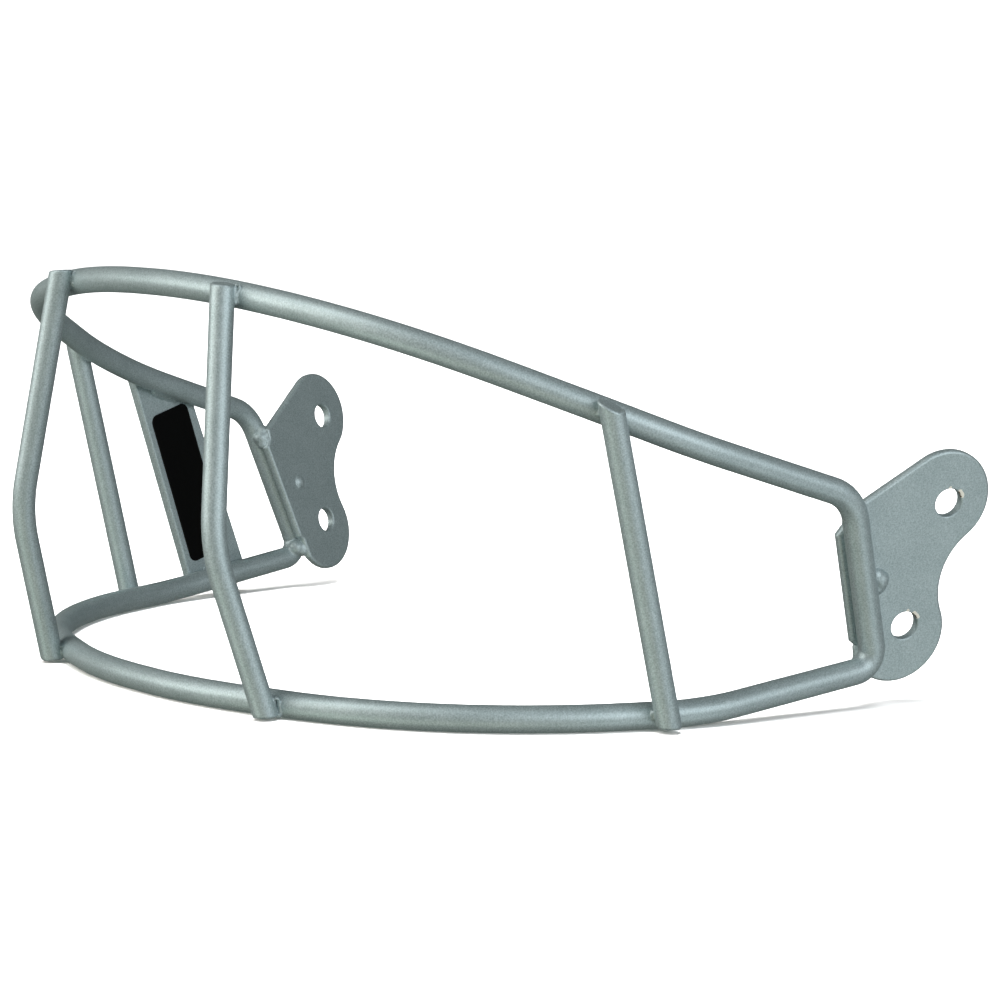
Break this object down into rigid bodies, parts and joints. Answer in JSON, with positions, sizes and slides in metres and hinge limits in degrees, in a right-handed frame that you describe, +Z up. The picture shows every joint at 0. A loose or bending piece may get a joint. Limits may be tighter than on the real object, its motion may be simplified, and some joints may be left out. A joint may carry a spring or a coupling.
{
  "type": "softball face guard",
  "caption": "Wire face guard for a softball batting helmet: upper and lower loop bars, upright bars, ear plates with screw holes and a label plate with a bare label.",
  "frame": {"origin": "bottom centre of the bounding box: on the table that the guard stands on, in its mirror plane", "axes": "+X to the wearer's left, -Y forwards from the wearer's face, +Z up"},
  "size_m": [0.2262, 0.1439, 0.0879],
  "materials": {
    "silver_coated_steel": "satin silver grey powder coat with a fine metallic grain",
    "coated_weld": "the same silver grey coat over weld beads, a little lumpy",
    "black_label": "bare black label, half gloss, with nothing printed on it"
  },
  "bodies": {
    "root": {"upper_bar": "silver_coated_steel", "lower_bar": "silver_coated_steel", "left_centre_bar": "silver_coated_steel", "right_centre_bar": "silver_coated_steel", "left_side_bar": "silver_coated_steel", "right_side_bar": "silver_coated_steel", "left_ear_plate": "silver_coated_steel", "right_ear_plate": "silver_coated_steel", "label_plate": "silver_coated_steel", "label": "black_label", "left_centre_top_weld": "coated_weld", "left_centre_foot_weld": "coated_weld", "right_centre_top_weld": "coated_weld", "right_centre_foot_weld": "coated_weld", "left_side_top_weld": "coated_weld", "left_side_foot_weld": "coated_weld", "right_side_top_weld": "coated_weld", "right_side_foot_weld": "coated_weld", "left_corner_weld": "coated_weld", "right_corner_weld": "coated_weld", "left_plate_top_weld": "coated_weld", "left_plate_foot_weld": "coated_weld", "left_plate_spot_weld": "coated_weld", "right_plate_top_weld": "coated_weld", "right_plate_foot_weld": "coated_weld", "right_plate_spot_weld": "coated_weld", "label_plate_top_weld": "coated_weld", "label_plate_foot_weld": "coated_weld"}
  },
  "joints": []
}
